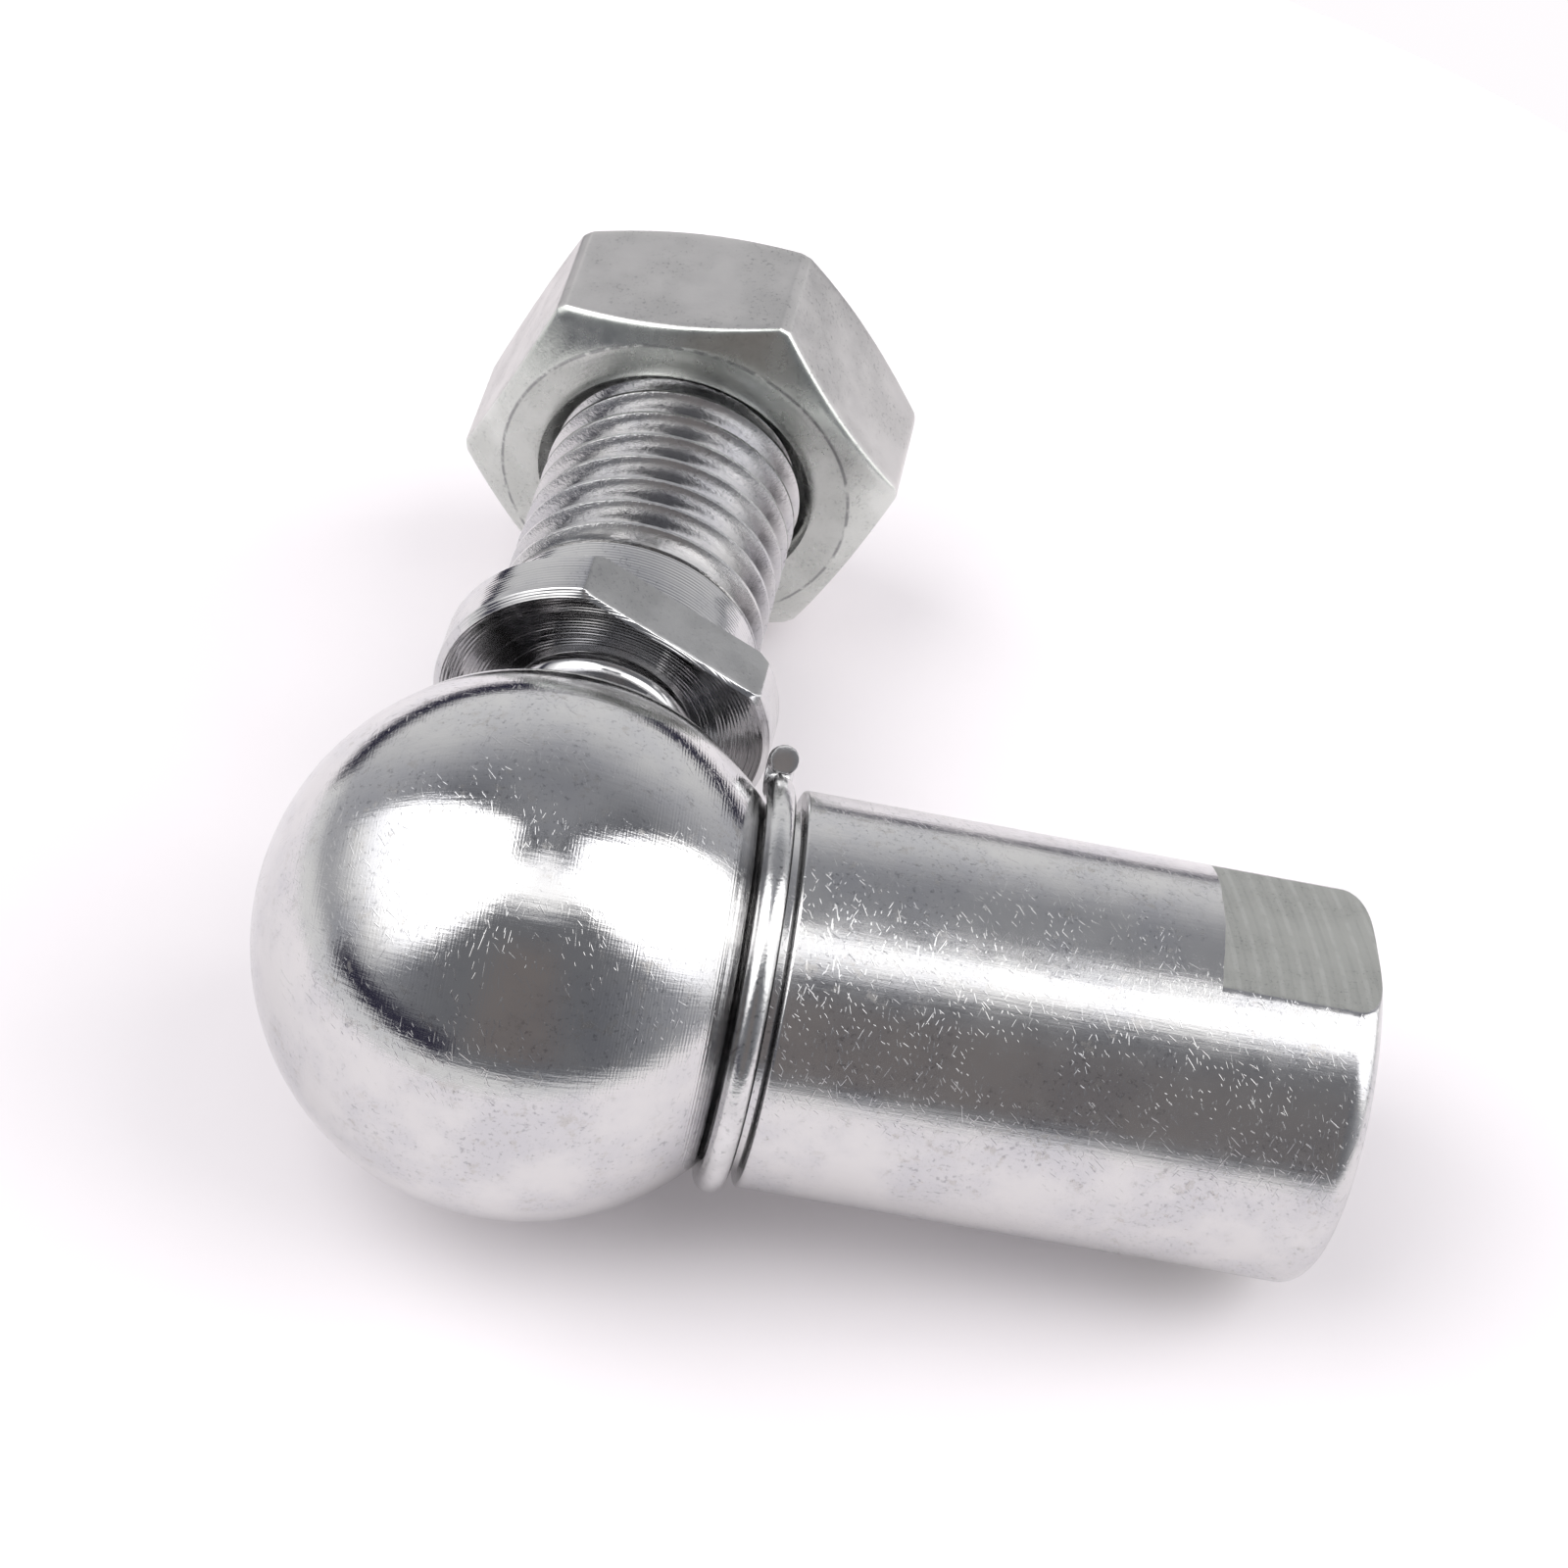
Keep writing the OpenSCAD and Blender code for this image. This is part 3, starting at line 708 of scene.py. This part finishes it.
def nut_side_zinc():
    """Dull zinc on the nut's six sides."""
    f = Finish("dull_zinc_nut_sides", STUD_AXIS, 12.0, (0.65, 0.635, 0.625, 1),
               (0.56, 0.55, 0.54, 1), (0.34, 0.44))
    f.specks(0.5, 4.0, GRIME_AND_SHADE)
    f.grain(3.0, 0.010)
    return f.made()


def wire_zinc():
    """Bright zinc on the clip's drawn wire."""
    f = Finish("bright_zinc_wire", NECK_AXIS, 11.0, (0.70, 0.70, 0.70, 1),
               (0.55, 0.55, 0.55, 1), (0.12, 0.22))
    f.specks(0.6, 3.0, GRIME_AND_SHADE)
    f.grain(1.6, 0.020)
    f.grain(5.0, 0.008)
    return f.made()


def spring_steel():
    """Plain darker spring steel."""
    f = Finish("plain_spring_steel", MOUTH_AXIS, 9.0, (0.50, 0.50, 0.51, 1),
               (0.36, 0.36, 0.38, 1), (0.22, 0.35))
    f.grain(6.0, 0.004)
    return f.made()


# ---------------------------------------------------------------- the object

def give(obj, materials, body, node):
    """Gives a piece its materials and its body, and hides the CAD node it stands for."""
    for material in materials:
        obj.data.materials.append(material)
    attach(obj, body)
    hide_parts(node)


def second_finish(obj, chosen):
    """Puts the second material on the faces whose middle (mm) and normal are chosen."""
    for face in obj.data.polygons:
        if chosen(np.array(face.center) / MM, np.array(face.normal)):
            face.material_index = 1


def on_flat(axis, turn, distance, start, end):
    """Chooses the faces of a pair of flats beside an axis, between two places along it."""
    u, v, w = axis
    out = math.cos(math.radians(turn)) * u + math.sin(math.radians(turn)) * v

    def chosen(middle, normal):
        return (start < middle @ w < end and abs(normal @ out) > 0.97
                and abs(abs(middle @ out) - distance) < 0.06)
    return chosen


def on_nut_side(middle, normal):
    """Chooses the faces of the nut's six sides."""
    radius = np.linalg.norm(np.cross(middle, STUD))
    return abs(normal @ STUD) < 0.25 and radius > NUT_FLAT - 0.1


socket = join_solids(neck_mesh(), head_mesh())
shade(socket, 30)
stud = join_solids(stud_mesh(), collar_mesh())
shade(stud, 30)
nut = nut_mesh()
clip = wire("safety_clip_wire", clip_line(), CLIP_WIRE_R)
snap = wire("snap_ring_wire", snap_line(), SNAP_WIRE_R)

give(socket, [socket_zinc(), milled_zinc("milled_zinc_socket", NECK_AXIS,
                                         (0.50, 0.505, 0.48, 1), BAND_PITCH)],
     "socket", "ball_socket")
second_finish(socket, on_flat(NECK_AXIS, NECK_FLAT_TURN, NECK_FLAT, NECK_FLAT_X, NECK_END))
give(stud, [stud_zinc(), milled_zinc("milled_zinc_stud", STUD_AXIS, (0.40, 0.40, 0.40, 1))],
     "stud", "ball_stud")
second_finish(stud, on_flat(STUD_AXIS, COLLAR_FLAT_TURN, COLLAR_FLAT, COLLAR_START,
                             COLLAR_END))
give(nut, [nut_face_zinc(), nut_side_zinc()], "nut", "hex_nut")
second_finish(nut, on_nut_side)
give(clip, [wire_zinc()], "clip", "safety_clip")
give(snap, [spring_steel()], "ring", "snap_ring")


# ---------------------------------------------------------------- floor

SLOPE_X, SLOPE_Y = 5.0, 2.0                   # the floor's slopes in the object's frame, degrees
FLOOR_RINGS, FLOOR_COLUMNS = (20, 50, 80, 115), 96
FLOOR_SHIFT = np.array([0.0, 8.0, 0.0])
down = np.array([math.sin(math.radians(SLOPE_X)), math.sin(math.radians(SLOPE_Y)), -1.0])
down /= np.linalg.norm(down)


def floor_mesh():
    """A disc that the head rests on, level with the neck's end and a corner of the nut."""
    middle = down * HEAD_R + FLOOR_SHIFT
    middle -= ((middle - down * HEAD_R) @ down) * down
    east = np.cross(down, Y)
    east /= np.linalg.norm(east)
    north = np.cross(east, down)
    n = FLOOR_COLUMNS
    turn = np.linspace(0, 2 * math.pi, n, endpoint=False)
    points, faces = [middle], []
    for k, r in enumerate(FLOOR_RINGS):
        points += [middle + r * (math.cos(t) * east + math.sin(t) * north) for t in turn]
        for j in range(n):
            a, b = 1 + k * n + j, 1 + k * n + (j + 1) % n
            faces.append((0, a, b) if k == 0 else (a - n, a, b, b - n))
    mesh = bpy.data.meshes.new("floor")
    mesh.from_pydata([tuple(p * MM) for p in points], [], faces)
    obj = bpy.data.objects.new("floor", mesh)
    bpy.context.scene.collection.objects.link(obj)
    return obj


def pale_paper():
    """Nearly white paper, faintly mottled, with a slight glow that keeps it overexposed."""
    material = bpy.data.materials.new("pale_floor")
    material.use_nodes = True
    t = Tree(material.node_tree)
    where = t.node("ShaderNodeTexCoord").outputs["Object"]
    mottle = t.ramp(t.noise(where, 30.0, 3.0), 0.3, 0.7)
    shader = t.node("ShaderNodeBsdfPrincipled", {
        "Base Color": t.colour(mottle, (0.86, 0.825, 0.845, 1), (0.835, 0.80, 0.82, 1)),
        "Roughness": 0.9, "Specular IOR Level": 0.1,
        "Emission Color": (1.0, 0.96, 0.985, 1), "Emission Strength": 0.10})
    t.node("ShaderNodeOutputMaterial", {"Surface": shader.outputs[0]})
    return material


floor = floor_mesh()
floor.data.materials.append(pale_paper())


# ---------------------------------------------------------------- soft studio light

# Brightness 1 is plain white. Directions are in degrees: the azimuth from +Y, which the camera
# faces, towards +X, and the height above the horizon.
TABLE_LIGHT, BOX_LIGHT = 0.95, 3.0
WALL_LOW, WALL_HIGH, ROOM_LOW, ROOM_HIGH = 0.90, 0.36, 0.21, 1.6
COOL_SHADE, WHITE_SHADE = (0.95, 0.97, 1.05, 1), (1.0, 0.995, 1.0, 1)
WARM_SHADE, STRIP_COLOUR = (1.15, 1.02, 0.93), (0.035, 0.033, 0.06, 1)
BACKDROP = (1.0, 0.975, 0.995, 1)


def window(t, value, low, high, soft_low, soft_high):
    """1 between low and high, 0 outside, with soft edges."""
    return t.math("MULTIPLY", t.ramp(value, low - soft_low, low + soft_low),
                  t.ramp(value, high + soft_high, high - soft_high))


def blend(t, factor, a, b):
    """Value a, or b where the factor is 1."""
    return t.node("ShaderNodeMix", {0: factor, 2: a, 3: b}).outputs[0]


def room(t, azimuth, height):
    """In front of the camera a grey wall, behind it a dim room with a light ceiling."""
    aside = t.math("ABSOLUTE", azimuth)
    wall = t.math("MULTIPLY", t.ramp(height, 12, 55, WALL_LOW, WALL_HIGH),
                  t.ramp(aside, 20, 62, 1.0, 0.6))
    return blend(t, t.ramp(aside, 95, 150), wall, t.ramp(height, 58, 72, ROOM_LOW, ROOM_HIGH))


def soft_boxes(t, azimuth, height, light):
    """Two large soft boxes with leaning edges, left and right of the camera, over the room."""
    lid, foot = t.ramp(height, 79, 75), t.ramp(height, -4, 2)
    outer = window(t, t.math("ADD", azimuth, t.math("MULTIPLY", height, 0.45)), -116, 400, 7, 3)
    inner = t.ramp(t.math("SUBTRACT", azimuth, t.math("MULTIPLY", height, 0.18)), -66, -70)
    left = t.math("MULTIPLY", t.math("MULTIPLY", outer, inner), lid)
    outer = t.ramp(t.math("SUBTRACT", azimuth, t.math("MULTIPLY", height, 0.55)), 106, 92)
    right = t.math("MULTIPLY", t.math("MULTIPLY", outer, t.ramp(azimuth, 58, 64)), lid)
    light = blend(t, t.math("MULTIPLY", left, foot), light,
                  t.ramp(height, -2, 45, 0.45, BOX_LIGHT))
    return blend(t, t.math("MULTIPLY", right, foot), light,
                 t.ramp(height, -4, 40, 1.4, BOX_LIGHT))


def dark_strips(t, azimuth, height):
    """One low beyond the object, level with the sloping floor, one at the camera's left rear."""
    tilt = t.math("MULTIPLY", t.math("SINE", t.math("RADIANS", azimuth)), SLOPE_X)
    back = t.math("MULTIPLY", window(t, t.math("SUBTRACT", height, tilt), -16, -1.2, 1.0, 0.8),
                  window(t, azimuth, -45, 44, 3, 4))
    left = t.math("MULTIPLY", window(t, height, -7, 3, 1.5, 3),
                  window(t, azimuth, -158, -101, 6, 3))
    return t.math("MAXIMUM", back, left)


def studio():
    """Surroundings by direction: room, soft boxes, white table, dark strips, and a warm patch
    behind the camera. The camera itself sees a plain backdrop."""
    world = bpy.data.worlds.new("studio")
    bpy.context.scene.world = world
    world.use_nodes = True
    t = Tree(world.node_tree)
    way = t.node("ShaderNodeTexCoord").outputs["Generated"]
    x, y, z = t.node("ShaderNodeSeparateXYZ", {"Vector": way}).outputs
    azimuth = t.math("MULTIPLY", t.math("ARCTAN2", x, y), 180 / math.pi)
    height = t.math("MULTIPLY", t.math("ARCSINE", z), 180 / math.pi)
    light = soft_boxes(t, azimuth, height, room(t, azimuth, height))
    light = blend(t, t.ramp(height, -3, -9), light, TABLE_LIGHT)
    tint = t.colour(t.ramp(light, 0.1, 1.0), COOL_SHADE, WHITE_SHADE)
    colour = t.vector("MULTIPLY", tint, t.join(light, light, light))
    warm = t.math("MULTIPLY", t.ramp(t.math("ABSOLUTE", azimuth), 155, 172),
                  window(t, height, 2, 50, 3, 8))
    colour = t.colour(warm, colour, t.vector("MULTIPLY", colour, WARM_SHADE))
    colour = t.colour(dark_strips(t, azimuth, height), colour, STRIP_COLOUR)
    seen = t.node("ShaderNodeLightPath").outputs["Is Camera Ray"]
    colour = t.colour(seen, colour, BACKDROP)
    t.node("ShaderNodeOutputWorld", {"Surface": t.node("ShaderNodeBackground", {
        "Color": colour, "Strength": 1.0}).outputs[0]})


studio()
bpy.context.scene.view_settings.view_transform = "Standard"


# ---------------------------------------------------------------- camera

CAMERA_PLACE = Vector((-2.303, -122.460, 148.833))                  # mm
CAMERA_AZIMUTH, CAMERA_FALL, CAMERA_ROLL = 6.305, 47.073, 15.06     # degrees
SENSOR_WIDTH, FOCAL_LENGTH = 36.0, 81.0


def camera():
    """The photo's viewing angle: from above, on the side that the stud points away from."""
    data = bpy.data.cameras.new("camera")
    data.sensor_width, data.lens = SENSOR_WIDTH, FOCAL_LENGTH
    data.clip_start, data.clip_end = 0.01, 5.0
    obj = bpy.data.objects.new("camera", data)
    bpy.context.scene.collection.objects.link(obj)
    azimuth, fall, roll = (math.radians(a) for a in (CAMERA_AZIMUTH, CAMERA_FALL, CAMERA_ROLL))
    look = Vector((math.sin(azimuth) * math.cos(fall), math.cos(azimuth) * math.cos(fall),
                   -math.sin(fall)))
    level = look.cross(Vector((0, 0, 1))).normalized()
    right = level * math.cos(roll) + level.cross(look) * math.sin(roll)
    up = right.cross(look)
    turn = Matrix((right, up, -look)).transposed().to_4x4()
    obj.matrix_world = Matrix.Translation(CAMERA_PLACE * MM) @ turn
    bpy.context.scene.camera = obj


camera()
